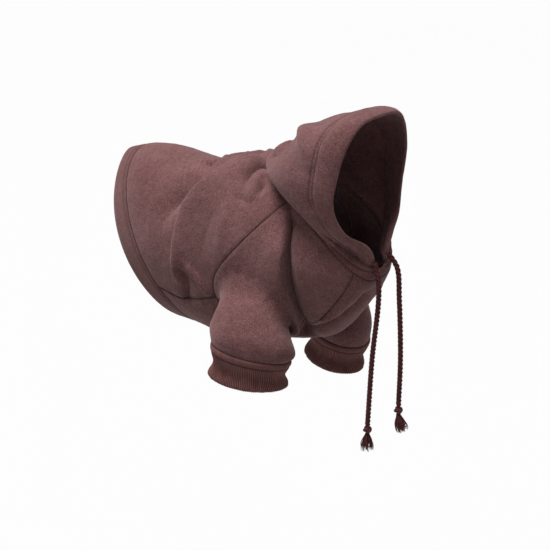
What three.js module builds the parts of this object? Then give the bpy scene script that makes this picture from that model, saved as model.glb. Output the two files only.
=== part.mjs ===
// A small dog's pullover hoodie, as it hangs when it is worn: back and belly panels, two raglan sleeves with
// rib cuffs, a hem band, a neck tape, a slouched hood and two drawstrings with knotted, frayed ends.
// Millimetres. X points forward, Y to the dog's left, Z up. The sheets are worked out from the nape seam, and
// the finished pieces are then moved so that the origin is inside the back, where it rests on the withers.
import * as THREE from "three";

// Driving sizes.
const cloth = 2.2;
const ribCloth = 2.8;
const pieceGap = 0.6;
const seamSink = 0.5; // how far a seam lies below the cloth beside it
const backLength = 195; // nape seam to the hem's edge, along X
const bodyDepth = 192; // nape seam down to the belly
const bodyWidth = 138;
const neckReach = 131; // nape seam to throat, along X
const neckDrop = 85; // nape seam down to throat
const neckWidth = 77;
const napeTuck = 9; // how far the nape seam lies under the hood's roll
const neckSag = 0.19; // how much fuller the neckline is towards the throat
const neckLift = 0.19; // how far the neckline's flanks stand ahead of its ends, in neck widths
const tapeWidth = 7;
const tapeAhead = 0.75; // how far the tape reaches into the neck, and in towards its middle, in tape widths
const tapeInward = 0.5;
const hoodReach = 129; // nape seam to the face edge, along X
const hoodHeight = 68; // face edge's top above the nape seam
const hoodWidth = 120;
const sleeveBlouse = 5; // how far a sleeve bulges out above its cuff
const sleeveStart = 0.35; // how stiffly a sleeve leaves the armhole and enters the cuff, in sleeve lengths
const sleeveEnd = 0.3;
const armholeRise = 1.6; // how late the sleeve's head turns into the armhole's arch
const cuffBand = 35;
const cuffLong = 84;
const cuffShort = 58;
const cuffTurn = 21; // degrees between the cuff's long axis and X
const cuffTuck = 6; // how far a cuff's inner side lies inside the middle of the underarm's seam
const cuffSlant = 6; // how far a cuff's free edge stands behind its seam
const cuffTilt = 0.14; // how much a cuff's seam falls towards the front
const cuffs = [
  { name: "right", side: -1, ahead: 34, down: 164 },
  { name: "left", side: 1, ahead: 36, down: 190 },
];
const foldScale = 1; // times the heights in the tables of folds
const cordDiameter = 5;
const knotDiameter = 9;
const tasselLength = 19;
const tasselWidth = 13;
const cordGap = 0.6;
const cords = [
  {
    name: "right",
    path: [[134.5, -11, -69], [140, -12, -84], [141, -12, -106], [136, -12, -165], [133, -12, -238]],
    lean: 0,
  },
  {
    name: "left",
    path: [[134.3, 11, -66], [144, 12, -78], [148, 12, -110], [152, 12, -170], [152, 12, -220]],
    lean: 16,
  },
];

// How finely the sheets are cut up.
const backColumns = 16;
const bellyColumns = 8;
const bodyRows = 10;
const shoulderRows = 12;
const underarmRows = 5;
const sleeveColumns = 10;
const sleeveRows = 8;
const hoodRows = 15;
const smoothPasses = 3;
const shoulderPasses = 12;
const creaseReach = 1.1; // how far a crease's points may move, in wall thicknesses
const shoulderReach = 26; // how far from the armholes the sleeves are evened out

const radians = (degrees) => (degrees * Math.PI) / 180;
const mix = (a, b, t) => a + (b - a) * t;
const vector = (x, y, z) => new THREE.Vector3(x, y, z);

// Reads a table by one of its columns, with a smooth curve through its rows.
function readTable(rows, key, at) {
  const last = rows.length - 1;
  let i = 0;
  while (i < last - 1 && at > rows[i + 1][key]) i += 1;
  const r0 = rows[Math.max(i - 1, 0)];
  const r1 = rows[i];
  const r2 = rows[i + 1];
  const r3 = rows[Math.min(i + 2, last)];
  const span = r2[key] - r1[key];
  const t = (at - r1[key]) / span;
  const found = {};
  for (const name of Object.keys(r1)) {
    const m1 = ((r2[name] - r0[name]) / (r2[key] - r0[key])) * span;
    const m2 = ((r3[name] - r1[name]) / (r3[key] - r1[key])) * span;
    found[name] =
      (2 * t ** 3 - 3 * t ** 2 + 1) * r1[name] +
      (t ** 3 - 2 * t ** 2 + t) * m1 +
      (3 * t ** 2 - 2 * t ** 3) * r2[name] +
      (t ** 3 - t ** 2) * m2;
  }
  return found;
}

// The trunk's sections from the hem's edge to the neckline, at stations from 0, the hem's seam, to 1. top
// and low are a section's ends in the middle plane: X as a share of the back length, Z of the depth. wide is
// a share of the body's width, lift how far the flanks stand ahead of the section's plane in body widths, bow
// how far they stand back in back lengths, and sag how much fuller the section is below its middle.
const trunkSections = [
  { at: -0.14, topX: -1, topZ: -0.11, lowX: -0.52, lowZ: -0.97, wide: 0.82, lift: 0, bow: 0.045, sag: 0.1 },
  { at: 0, topX: -0.9, topZ: -0.055, lowX: -0.33, lowZ: -1, wide: 0.95, lift: 0, bow: 0.015, sag: 0.05 },
  { at: 0.15, topX: -0.75, topZ: -0.034, lowX: -0.22, lowZ: -1.01, wide: 0.99, lift: 0, bow: 0, sag: 0.03 },
  { at: 0.3, topX: -0.59, topZ: -0.042, lowX: -0.12, lowZ: -1.01, wide: 1, lift: 0, bow: 0, sag: 0.02 },
  { at: 0.45, topX: -0.43, topZ: -0.062, lowX: -0.03, lowZ: -0.995, wide: 1, lift: 0, bow: 0, sag: -0.02 },
  { at: 0.6, topX: -0.29, topZ: -0.045, lowX: 0.13, lowZ: -0.95, wide: 1, lift: 0, bow: 0, sag: -0.09 },
  { at: 0.72, topX: -0.185, topZ: -0.012, lowX: 0.28, lowZ: -0.9, wide: 0.98, lift: 0.03, bow: 0, sag: -0.09 },
  { at: 0.84, topX: -0.095, topZ: 0.004, lowX: 0.45, lowZ: -0.82, wide: 0.9, lift: 0.07, bow: 0, sag: -0.03 },
  { at: 0.93, topX: -0.01, topZ: 0, lowX: 0.58, lowZ: -0.65, wide: 0.77, lift: 0.1, bow: 0, sag: 0.05 },
];

// A point of a section: angle 0 is its top, 180 its bottom, negative on the dog's right.
function sectionPoint(section, angle) {
  const a = radians(angle);
  const beside = Math.sin(a);
  const centre = section.top.clone().add(section.low).multiplyScalar(0.5);
  const half = section.top.clone().sub(section.low).multiplyScalar(0.5);
  const full = 1 - section.sag * 2 * Math.cos(a) * Math.abs(beside);
  const point = centre.addScaledVector(half, Math.cos(a) * full);
  point.addScaledVector(aheadOf(section), section.lift * beside * beside);
  point.x -= section.bow * beside * beside;
  point.y = section.halfWidth * beside * full;
  return point;
}

function aheadOf(section) {
  const along = section.top.clone().sub(section.low);
  return vector(along.z, 0, -along.x).normalize();
}

// The sections of the neck, from the neckline inwards over the tape.
function neckSection(inward) {
  const seam = { top: vector(napeTuck, 0, -1), low: vector(neckReach, 0, -neckDrop) };
  const step = aheadOf(seam).multiplyScalar(inward * tapeAhead);
  const along = seam.top.clone().sub(seam.low).normalize();
  return {
    top: seam.top.clone().add(step).addScaledVector(along, -inward * tapeInward),
    low: seam.low.clone().add(step).addScaledVector(along, inward * tapeInward),
    halfWidth: neckWidth / 2 - inward * tapeInward,
    lift: neckWidth * neckLift,
    bow: 0,
    sag: neckSag,
  };
}

function trunkSection(station) {
  const neck = neckSection(0);
  const lastRow = {
    at: 1,
    topX: neck.top.x / backLength,
    topZ: neck.top.z / bodyDepth,
    lowX: neckReach / backLength,
    lowZ: -neckDrop / bodyDepth,
    wide: neckWidth / bodyWidth,
    lift: neck.lift / bodyWidth,
    bow: 0,
    sag: neck.sag,
  };
  const row = readTable([...trunkSections, lastRow], "at", station);
  return {
    top: vector(row.topX * backLength, 0, row.topZ * bodyDepth),
    low: vector(row.lowX * backLength, 0, row.lowZ * bodyDepth),
    halfWidth: (row.wide * bodyWidth) / 2,
    lift: row.lift * bodyWidth,
    bow: row.bow * backLength,
    sag: row.sag,
  };
}

const trunkPoint = (station, angle) => sectionPoint(trunkSection(station), angle);

// The hood's lines from its roll over the shoulders to the face edge, each from the middle of the back of
// the head down one side to the throat. ahead is a share of the hood's reach, beside of half its width, and
// rise of the height from the throat to the face edge's top.
const hoodLines = [
  {
    line: 0.16,
    rows: [
      { share: 0, ahead: 0.02, beside: 0, rise: 0.6 },
      { share: 0.15, ahead: 0.09, beside: 0.34, rise: 0.59 },
      { share: 0.3, ahead: 0.24, beside: 0.66, rise: 0.55 },
      { share: 0.45, ahead: 0.41, beside: 0.87, rise: 0.515 },
      { share: 0.6, ahead: 0.585, beside: 0.9, rise: 0.43 },
      { share: 0.75, ahead: 0.735, beside: 0.88, rise: 0.34 },
      { share: 0.88, ahead: 0.87, beside: 0.73, rise: 0.235 },
      { share: 1, ahead: 0.95, beside: 0.24, rise: 0.1 },
    ],
  },
  {
    line: 0.26,
    rows: [
      { share: 0, ahead: 0.04, beside: 0, rise: 0.64 },
      { share: 0.15, ahead: 0.1, beside: 0.36, rise: 0.63 },
      { share: 0.3, ahead: 0.24, beside: 0.69, rise: 0.595 },
      { share: 0.45, ahead: 0.41, beside: 0.92, rise: 0.55 },
      { share: 0.6, ahead: 0.58, beside: 0.96, rise: 0.47 },
      { share: 0.75, ahead: 0.73, beside: 0.91, rise: 0.365 },
      { share: 0.88, ahead: 0.87, beside: 0.74, rise: 0.255 },
      { share: 1, ahead: 0.95, beside: 0.24, rise: 0.11 },
    ],
  },
  {
    line: 0.48,
    rows: [
      { share: 0, ahead: 0.29, beside: 0, rise: 0.73 },
      { share: 0.15, ahead: 0.31, beside: 0.38, rise: 0.73 },
      { share: 0.3, ahead: 0.37, beside: 0.74, rise: 0.7 },
      { share: 0.45, ahead: 0.48, beside: 0.98, rise: 0.65 },
      { share: 0.6, ahead: 0.63, beside: 1.03, rise: 0.53 },
      { share: 0.75, ahead: 0.755, beside: 0.95, rise: 0.385 },
      { share: 0.88, ahead: 0.85, beside: 0.68, rise: 0.24 },
      { share: 1, ahead: 0.95, beside: 0.22, rise: 0.1 },
    ],
  },
  {
    line: 0.7,
    rows: [
      { share: 0, ahead: 0.54, beside: 0, rise: 0.905 },
      { share: 0.15, ahead: 0.55, beside: 0.45, rise: 0.9 },
      { share: 0.3, ahead: 0.59, beside: 0.83, rise: 0.82 },
      { share: 0.45, ahead: 0.66, beside: 1.0, rise: 0.69 },
      { share: 0.6, ahead: 0.745, beside: 1.0, rise: 0.53 },
      { share: 0.75, ahead: 0.825, beside: 0.88, rise: 0.365 },
      { share: 0.88, ahead: 0.885, beside: 0.55, rise: 0.21 },
      { share: 1, ahead: 0.975, beside: 0.19, rise: 0.09 },
    ],
  },
  {
    line: 0.87,
    rows: [
      { share: 0, ahead: 0.86, beside: 0, rise: 1.005 },
      { share: 0.15, ahead: 0.855, beside: 0.5, rise: 0.985 },
      { share: 0.3, ahead: 0.84, beside: 0.86, rise: 0.9 },
      { share: 0.45, ahead: 0.82, beside: 0.97, rise: 0.72 },
      { share: 0.6, ahead: 0.83, beside: 0.94, rise: 0.52 },
      { share: 0.75, ahead: 0.885, beside: 0.78, rise: 0.325 },
      { share: 0.88, ahead: 0.95, beside: 0.4, rise: 0.19 },
      { share: 1, ahead: 1.0, beside: 0.17, rise: 0.085 },
    ],
  },
  {
    line: 1,
    rows: [
      { share: 0, ahead: 1.0, beside: 0, rise: 1.0 },
      { share: 0.15, ahead: 0.99, beside: 0.44, rise: 0.98 },
      { share: 0.3, ahead: 0.96, beside: 0.74, rise: 0.87 },
      { share: 0.45, ahead: 0.93, beside: 0.88, rise: 0.7 },
      { share: 0.6, ahead: 0.9, beside: 0.9, rise: 0.5 },
      { share: 0.75, ahead: 0.95, beside: 0.68, rise: 0.31 },
      { share: 0.88, ahead: 1.01, beside: 0.24, rise: 0.2 },
      { share: 1, ahead: 1.015, beside: 0.14, rise: 0.07 },
    ],
  },
];

// Folds, each a curve from one place over another to a third, on both sides of the body. A place is a
// station and an angle. height is how far the cloth stands out, or in where it is negative.
const trunkFolds = [
  { from: [0.58, 0], over: [0.52, -70], to: [0.3, -108], height: 5.5, width: 10 },
  { from: [0.5, -16], over: [0.44, -45], to: [0.27, -68], height: -6, width: 13 },
  { from: [0.9, -10], over: [0.8, -18], to: [0.6, -46], height: 4, width: 9 },
  { from: [0.91, -28], over: [0.84, -38], to: [0.72, -52], height: -3.5, width: 10 },
  { from: [0.69, 0], over: [0.69, -14], to: [0.62, -28], height: 3.5, width: 8 },
  { from: [0.82, 0], over: [0.81, -8], to: [0.76, -22], height: 3, width: 6 },
  { from: [0.755, 0], over: [0.745, -10], to: [0.7, -24], height: -3, width: 6 },
  { from: [0.43, -86], over: [0.39, -101], to: [0.33, -109], height: -6, width: 8 },
  { from: [0.52, -70], over: [0.5, -90], to: [0.46, -104], height: 3, width: 10 },
  { from: [0.9, -76], over: [0.86, -88], to: [0.79, -110], height: 6, width: 10 },
  { from: [0.93, -98], over: [0.91, -108], to: [0.86, -126], height: -4, width: 10 },
];
const hoodFolds = [
  { from: [0.5, -12], over: [0.51, -40], to: [0.54, -58], height: -5, width: 8 },
  { from: [0.66, 0], over: [0.66, -30], to: [0.62, -62], height: 6, width: 9 },
  { from: [0.7, -24], over: [0.78, -56], to: [0.86, -86], height: -2.5, width: 6 },
  { from: [0.38, -30], over: [0.42, -60], to: [0.5, -90], height: 2.5, width: 12 },
];

const throatGap = 7; // degrees that the hood's end stands short of the throat

// The hood between two neighbouring lines, after a smooth curve through all of them.
function hoodPoint(down, angle) {
  const share = Math.abs(angle) / 180;
  const seam = sectionPoint(neckSection(tapeWidth), -Math.abs(angle));
  const base = {
    line: 0,
    ahead: seam.x / hoodReach,
    beside: -seam.y / (hoodWidth / 2),
    rise: (seam.z + neckDrop) / (neckDrop + hoodHeight),
  };
  const upTo = 180 / (180 - throatGap);
  const rows = hoodLines.map(({ line, rows: points }) => {
    const { ahead, beside, rise } = readTable(points, "share", Math.min(1, share * upTo));
    return { line, ahead, beside, rise };
  });
  const { ahead, beside, rise } = readTable([base, ...rows], "line", down);
  return vector(
    ahead * hoodReach,
    (beside * Math.sign(angle) * hoodWidth) / 2,
    mix(-neckDrop, hoodHeight, rise),
  );
}

// Seams on the trunk, each as stations and angles from one end to the other.
const sideSeam = [
  { share: 0, station: 0, angle: 114 },
  { share: 0.35, station: 0.17, angle: 118 },
  { share: 0.7, station: 0.34, angle: 113 },
  { share: 1, station: 0.5, angle: 109 },
];
const rearRaglan = [
  { share: 0, station: 1, angle: 63 },
  { share: 0.3, station: 0.9, angle: 70 },
  { share: 0.6, station: 0.74, angle: 84 },
  { share: 0.82, station: 0.61, angle: 96 },
  { share: 1, station: 0.5, angle: 109 },
];
const frontRaglan = [
  { share: 0, station: 1, angle: 138 },
  { share: 0.35, station: 0.92, angle: 143 },
  { share: 0.7, station: 0.84, angle: 148 },
  { share: 1, station: 0.76, angle: 152 },
];
const underarm = [
  { share: 0, station: 0.76, angle: 152 },
  { share: 0.5, station: 0.62, angle: 135 },
  { share: 1, station: 0.5, angle: 109 },
];
const armholeTop = [
  { share: 0, station: 0.5, angle: 109 },
  { share: 0.25, station: 0.62, angle: 94 },
  { share: 0.5, station: 0.76, angle: 92 },
  { share: 0.75, station: 0.84, angle: 115 },
  { share: 1, station: 0.76, angle: 152 },
];
const onSeam = (seam, share) => readTable(seam, "share", share);

// A cuff's middle, from the middle plane.
const cuffSpread = trunkPoint(underarm[1].station, underarm[1].angle).y - cuffTuck + cuffShort / 2;

// Sheets of cloth that share the points of their seams: each face has four points and a piece's name.
class Garment {
  constructor() {
    this.points = [];
    this.faces = [];
  }

  add(point) {
    const known = this.points.findIndex((p) => p.distanceToSquared(point) < 0.0004);
    if (known >= 0) return known;
    return this.points.push(point.clone()) - 1;
  }

  addGrid(piece, rows, flip) {
    const ids = rows.map((row) => row.map((point) => this.add(point)));
    for (let i = 0; i + 1 < ids.length; i += 1) {
      for (let j = 0; j + 1 < ids[i].length; j += 1) {
        const corners = [ids[i][j], ids[i + 1][j], ids[i + 1][j + 1], ids[i][j + 1]];
        this.faces.push({ piece, corners: flip ? corners.reverse() : corners });
      }
    }
  }

  faceNormal(face) {
    const [a, b, c, d] = face.corners.map((i) => this.points[i]);
    return c.clone().sub(a).cross(d.clone().sub(b));
  }

  // The points' normals. Where pieces meet, each of them counts the same.
  normals() {
    const sums = this.points.map(() => new Map());
    for (const face of this.faces) {
      const across = this.faceNormal(face);
      for (const i of face.corners) {
        sums[i].set(face.piece, (sums[i].get(face.piece) || vector(0, 0, 0)).add(across));
      }
    }
    return sums.map((found) => {
      const both = vector(0, 0, 0);
      for (const sum of found.values()) both.add(sum.normalize());
      return both.normalize();
    });
  }

  // How much further than its faces each point moves, so that a wall keeps its thickness at a crease.
  stretches(normals) {
    const cosines = this.points.map(() => 1);
    for (const face of this.faces) {
      const across = this.faceNormal(face).normalize();
      for (const i of face.corners) cosines[i] = Math.min(cosines[i], across.dot(normals[i]));
    }
    return cosines.map((cosine) => 1 / Math.max(cosine, 1 / creaseReach));
  }

  // The edges that only one of these faces uses, in that face's direction.
  rims(faces) {
    const uses = new Map();
    for (const { corners } of faces) {
      corners.forEach((a, k) => {
        const b = corners[(k + 1) % 4];
        const key = a < b ? `${a},${b}` : `${b},${a}`;
        uses.set(key, [...(uses.get(key) || []), [a, b]]);
      });
    }
    return [...uses.values()].filter((found) => found.length === 1).map((found) => found[0]);
  }

  // Evens some of the points out, and leaves free edges where they are.
  smooth(chosen, passes) {
    const held = new Set(this.rims(this.faces).flat());
    const near = this.points.map(() => new Set());
    for (const { corners } of this.faces) {
      corners.forEach((a, k) => {
        near[a].add(corners[(k + 1) % 4]);
        near[a].add(corners[(k + 3) % 4]);
      });
    }
    for (let pass = 0; pass < passes; pass += 1) {
      const before = this.points.map((p) => p.clone());
      this.points.forEach((point, i) => {
        if (held.has(i) || !chosen.has(i)) return;
        const middle = vector(0, 0, 0);
        for (const j of near[i]) middle.add(before[j]);
        point.lerp(middle.divideScalar(near[i].size), 0.5);
      });
    }
  }

  // The points of these pieces, without those that some other piece uses as well.
  pointsOf(isWanted, isOther = () => false) {
    const inPieces = (test) => {
      return this.faces.filter(({ piece }) => test(piece)).flatMap(({ corners }) => corners);
    };
    const others = new Set(inPieces(isOther));
    return new Set(inPieces(isWanted).filter((i) => !others.has(i)));
  }

  // The sleeves' own points near the armholes' arches, where the sleeves leave the trunk.
  shoulders() {
    const arches = Array.from({ length: 21 }, (_, i) => onSeam(armholeTop, i / 20)).flatMap(
      ({ station, angle }) => [trunkPoint(station, angle), trunkPoint(station, -angle)],
    );
    const seams = this.seams();
    const own = [...this.pointsOf((piece) => piece.endsWith("sleeve"))].filter((i) => !seams.has(i));
    return new Set(
      own.filter((i) => arches.some((place) => place.distanceTo(this.points[i]) < shoulderReach)),
    );
  }

  // Moves some of the points along their normals by what the rule says.
  push(chosen, rule) {
    const normals = this.normals();
    const moves = this.points.map((point, i) => (chosen.has(i) ? rule(point) : 0));
    this.points.forEach((point, i) => point.addScaledVector(normals[i], moves[i]));
  }

  pressFolds(chosen, folds, surface) {
    this.push(chosen, (point) => {
      return foldScale * folds.reduce((sum, fold) => sum + foldHeight(fold, surface, point), 0);
    });
  }

  // The point on the inside of the wall that is nearest to a place.
  restingPoint(place) {
    const apart = this.points.map((point) => point.distanceTo(place));
    const i = apart.indexOf(Math.min(...apart));
    return this.points[i].clone().addScaledVector(this.normals()[i], -cloth / 2);
  }

  // The points where two pieces meet.
  seams() {
    const pieces = this.points.map(() => new Set());
    for (const { piece, corners } of this.faces) {
      for (const i of corners) pieces[i].add(piece);
    }
    return new Set(this.points.keys().filter((i) => pieces[i].size > 1));
  }

  // One piece's closed wall, with its rims drawn in so that a gap stays beside its neighbours.
  wall(piece, thickness) {
    const faces = this.faces.filter((face) => face.piece === piece);
    const normals = this.normals();
    const stretches = this.stretches(normals);
    const rims = this.rims(faces);
    const drawn = new Map();
    for (const [a, b] of rims) {
      const along = this.points[b].clone().sub(this.points[a]).normalize();
      for (const i of [a, b]) {
        drawn.set(i, (drawn.get(i) || vector(0, 0, 0)).add(normals[i].clone().cross(along)));
      }
    }
    const order = new Map();
    for (const { corners } of faces) {
      for (const i of corners) if (!order.has(i)) order.set(i, order.size);
    }
    const positions = [];
    for (const side of [0.5, -0.5]) {
      for (const i of order.keys()) {
        const p = this.points[i].clone();
        if (drawn.has(i)) p.addScaledVector(drawn.get(i).clone().normalize(), pieceGap / 2);
        p.addScaledVector(normals[i], thickness * side * stretches[i]);
        positions.push(p.x, p.y, p.z);
      }
    }
    const index = [];
    const count = order.size;
    for (const { corners } of faces) {
      const ends = corners.map((i) => this.points[i]);
      const turn = ends[0].distanceTo(ends[2]) > ends[1].distanceTo(ends[3]) ? 1 : 0;
      const [a, b, c, d] = [0, 1, 2, 3].map((k) => order.get(corners[(k + turn) % 4]));
      index.push(a, b, c, a, c, d, count + a, count + c, count + b, count + a, count + d, count + c);
    }
    // Both pieces split a seam's faces the same way, so that the walls meet evenly.
    for (const rim of rims) {
      const [a, b] = rim.map((i) => order.get(i));
      if (rim[0] < rim[1]) index.push(b, a, count + a, b, count + a, count + b);
      else index.push(b, a, count + b, a, count + a, count + b);
    }
    const geometry = new THREE.BufferGeometry();
    geometry.setAttribute("position", new THREE.Float32BufferAttribute(positions, 3));
    geometry.setIndex(index);
    return geometry;
  }
}

// How far a fold moves a point.
function foldHeight(fold, surface, point) {
  let nearest = Infinity;
  for (let i = 0; i <= 20; i += 1) {
    const t = i / 20;
    const [station, angle] = [0, 1].map(
      (k) => (1 - t) ** 2 * fold.from[k] + 2 * t * (1 - t) * fold.over[k] + t * t * fold.to[k],
    );
    for (const side of [-1, 1]) {
      nearest = Math.min(nearest, surface(station, angle * side).distanceTo(point));
    }
  }
  return fold.height * Math.exp(-((nearest / fold.width) ** 2));
}

// A grid of points from two shares, down and over, each from 0 to 1.
function grid(rows, columns, place) {
  return Array.from({ length: rows + 1 }, (_, i) =>
    Array.from({ length: columns + 1 }, (_, j) => place(i / rows, j / columns)),
  );
}

function backPoint(seam, share, over) {
  const edge = onSeam(seam, share);
  return trunkPoint(edge.station, edge.angle * (2 * over - 1));
}

function bellyPoint(seam, share, over) {
  const edge = onSeam(seam, share);
  return trunkPoint(edge.station, mix(edge.angle, 360 - edge.angle, over));
}

// The sleeve's head lies on the trunk between its two raglan seams, and ends at the armhole's arch.
function sleeveHeadPoint(side, down, over) {
  const rear = onSeam(rearRaglan, down);
  const front = onSeam(frontRaglan, down);
  const arch = onSeam(armholeTop, over);
  const rise = down ** armholeRise;
  const straight = (key) => mix(armholeTop[0][key], armholeTop[4][key], over);
  const station = mix(rear.station, front.station, over) + rise * (arch.station - straight("station"));
  const angle = mix(rear.angle, front.angle, over) + rise * (arch.angle - straight("angle"));
  return trunkPoint(station, angle * side);
}

function cuffPoint({ side, ahead, down }, turn, along) {
  const a = radians(turn);
  const t = radians(cuffTurn);
  const long = (cuffLong / 2) * Math.cos(a);
  const short = (cuffShort / 2) * Math.sin(a);
  return vector(
    ahead - long * Math.cos(t) + short * Math.sin(t) - cuffSlant * along,
    side * (cuffSpread + long * Math.sin(t) + short * Math.cos(t)),
    -down - cuffBand * along + cuffTilt * long * (1 - along * 0.6),
  );
}

function sleevePoint(cuff, start, leave, turn, down) {
  const end = cuffPoint(cuff, turn, 0);
  const reach = start.distanceTo(end);
  const curve = new THREE.CubicBezierCurve3(
    start,
    start.clone().addScaledVector(leave, reach * sleeveStart),
    end.clone().add(vector(cuffSlant / 2, 0, reach * sleeveEnd)),
    end,
  );
  const out = vector(end.x - cuff.ahead, end.y - cuff.side * cuffSpread, 0).normalize();
  return curve.getPoint(down).addScaledVector(out, sleeveBlouse * Math.sin(Math.PI * down ** 3));
}

function addSleeve(garment, cuff) {
  const { name, side } = cuff;
  const flip = side > 0;
  const leave = (over, out) => {
    return vector(0.1, side * (0.15 + out * Math.sin(Math.PI * over)), -1).normalize();
  };
  const head = grid(shoulderRows, sleeveColumns, (down, over) => sleeveHeadPoint(side, down, over));
  const outer = grid(sleeveRows, sleeveColumns, (down, over) => {
    const start = sleeveHeadPoint(side, 1, over);
    return sleevePoint(cuff, start, leave(over, 0.2), mix(0, 180, over), down);
  });
  const inner = grid(sleeveRows, underarmRows, (down, over) => {
    const edge = onSeam(underarm, over);
    const start = trunkPoint(edge.station, edge.angle * side);
    return sleevePoint(cuff, start, leave(over, 0.6), mix(180, 360, over), down);
  });
  for (const part of [head, outer, inner]) garment.addGrid(`${name}_sleeve`, part, flip);
  for (const [columns, from] of [[sleeveColumns, 0], [underarmRows, 180]]) {
    const band = grid(3, columns, (along, over) => cuffPoint(cuff, from + 180 * over, along));
    garment.addGrid(`${name}_cuff`, band, flip);
  }
}

function addTrunk(garment) {
  garment.addGrid("back_panel", grid(bodyRows, backColumns, (down, over) => backPoint(sideSeam, down, over)));
  garment.addGrid(
    "back_panel",
    grid(shoulderRows, backColumns, (down, over) => backPoint(rearRaglan, 1 - down, over)),
  );
  for (const [rows, seam, flip] of [
    [bodyRows, sideSeam, false],
    [underarmRows, underarm, true],
    [shoulderRows, frontRaglan, true],
  ]) {
    const part = grid(rows, bellyColumns, (down, over) => bellyPoint(seam, flip ? 1 - down : down, over));
    garment.addGrid("belly_panel", part);
  }
  const { angle } = sideSeam[0];
  for (const [columns, from, to] of [
    [backColumns, -angle, angle],
    [bellyColumns, angle, 360 - angle],
  ]) {
    const band = grid(2, columns, (down, over) => {
      return trunkPoint(trunkSections[0].at * (1 - down), mix(from, to, over));
    });
    garment.addGrid("hem_band", band);
  }
}

function addNeck(garment) {
  const rear = rearRaglan[0].angle;
  const front = frontRaglan[0].angle;
  const spans = [
    { columns: backColumns, from: -rear, to: rear },
    { columns: sleeveColumns, from: rear, to: front },
    { columns: bellyColumns, from: front, to: 360 - front },
    { columns: sleeveColumns, from: -front, to: -rear },
  ];
  for (const { columns, from, to } of spans) {
    const tape = grid(1, columns, (down, over) => {
      return sectionPoint(neckSection(tapeWidth * down), mix(from, to, over));
    });
    garment.addGrid("neck_tape", tape);
  }
  for (const { columns, from, to } of [spans[0], spans[1], spans[3]]) {
    garment.addGrid("hood", grid(hoodRows, columns, (down, over) => hoodPoint(down, mix(from, to, over))));
  }
  for (const side of [-1, 1]) {
    const columns = bellyColumns / 2 - 1;
    const stop = mix(front, 180, columns / (columns + 1));
    const part = grid(hoodRows, columns, (down, over) => hoodPoint(down, side * mix(front, stop, over)));
    garment.addGrid("hood", part, side < 0);
  }
}

function material(colour, roughness) {
  return new THREE.MeshStandardMaterial({ color: colour, roughness, metalness: 0 });
}

const fleece = material(0x6f4a4e, 0.95);
const rib = material(0x6a4443, 0.95);
const cordYarn = material(0x3a1c1f, 0.9);

const hoodie = new THREE.Group();
function addPiece(name, geometry, finish) {
  const mesh = new THREE.Mesh(geometry, finish);
  mesh.name = name;
  hoodie.add(mesh);
}

// The profiles of a knot and a tassel: how far out, in shares of the radius, and how high, in shares of
// the half height or the length.
const knotProfile = [
  { out: 0, up: -1 },
  { out: 0.6, up: -0.85 },
  { out: 1, up: -0.25 },
  { out: 0.85, up: 0.2 },
  { out: 1, up: 0.6 },
  { out: 0.5, up: 1 },
  { out: 0, up: 1 },
];
const tasselProfile = [
  { out: 0, up: -1 },
  { out: 0.8, up: -0.96 },
  { out: 1, up: -0.75 },
  { out: 0.55, up: -0.3 },
  { out: 0.3, up: 0 },
  { out: 0, up: 0 },
];

function lathe(profile, radius, height) {
  const points = profile.map(({ out, up }) => new THREE.Vector2(out * radius, up * height));
  return new THREE.LatheGeometry(points, 10).rotateX(Math.PI / 2);
}

// The drawstring, with the knot at its end and the frayed ends of its strands as one tassel.
function addCord({ name, path, lean }) {
  const curve = new THREE.CatmullRomCurve3(path.map(([x, y, z]) => vector(x, y, z)), false, "centripetal");
  const round = new THREE.Shape();
  round.absarc(0, 0, cordDiameter / 2, 0, 2 * Math.PI);
  const tube = new THREE.ExtrudeGeometry(round, { extrudePath: curve, steps: 24, curveSegments: 4 });
  addPiece(`${name}_drawstring`, tube, cordYarn);
  const r = knotDiameter / 2;
  const end = curve.getPoint(1);
  const knot = lathe(knotProfile, r, r);
  knot.translate(end.x, end.y, end.z - r - cordGap);
  addPiece(`${name}_knot`, knot, cordYarn);
  const tassel = lathe(tasselProfile, tasselWidth / 2, tasselLength);
  tassel.translate(0, 0, -r - cordGap).rotateY(radians(-lean)).translate(end.x, end.y, end.z - r - cordGap);
  addPiece(`${name}_tassel`, tassel, cordYarn);
}

const garment = new Garment();
addTrunk(garment);
for (const cuff of cuffs) addSleeve(garment, cuff);
addNeck(garment);
garment.smooth(garment.pointsOf(() => true), smoothPasses);
garment.smooth(garment.shoulders(), shoulderPasses);
const isTape = (piece) => piece === "neck_tape";
const isTrunk = (piece) => /panel|sleeve/.test(piece);
const isBand = (piece) => /band|tape|cuff/.test(piece);
garment.pressFolds(garment.pointsOf(isTrunk, isBand), trunkFolds, trunkPoint);
garment.pressFolds(garment.pointsOf((piece) => piece === "hood", isTape), hoodFolds, hoodPoint);
garment.push(garment.seams(), () => -seamSink);

for (const piece of new Set(garment.faces.map((face) => face.piece))) {
  const isCuff = piece.endsWith("cuff");
  addPiece(piece, garment.wall(piece, isCuff ? ribCloth : cloth), isCuff ? rib : fleece);
}
for (const cord of cords) addCord(cord);

// The origin is where the inside of the back rests on the withers.
const withers = garment.restingPoint(trunkPoint(sideSeam.at(-1).station, 0));
for (const piece of hoodie.children) piece.geometry.translate(-withers.x, -withers.y, -withers.z);

export default hoodie;
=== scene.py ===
# A pullover hoodie, shown worn, in fleece with ribbed cuffs, a slouched hood and two drawstrings.
# The sheets are worked out in millimetres from the nape seam, and moved to the frame's place at the end.
# Ahead is towards the hood's face edge, and angles go round a section from its top, negative on the right.
import math

import bpy
import numpy as np
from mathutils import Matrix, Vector, noise
from mathutils.bvhtree import BVHTree
from mathutils.kdtree import KDTree


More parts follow.
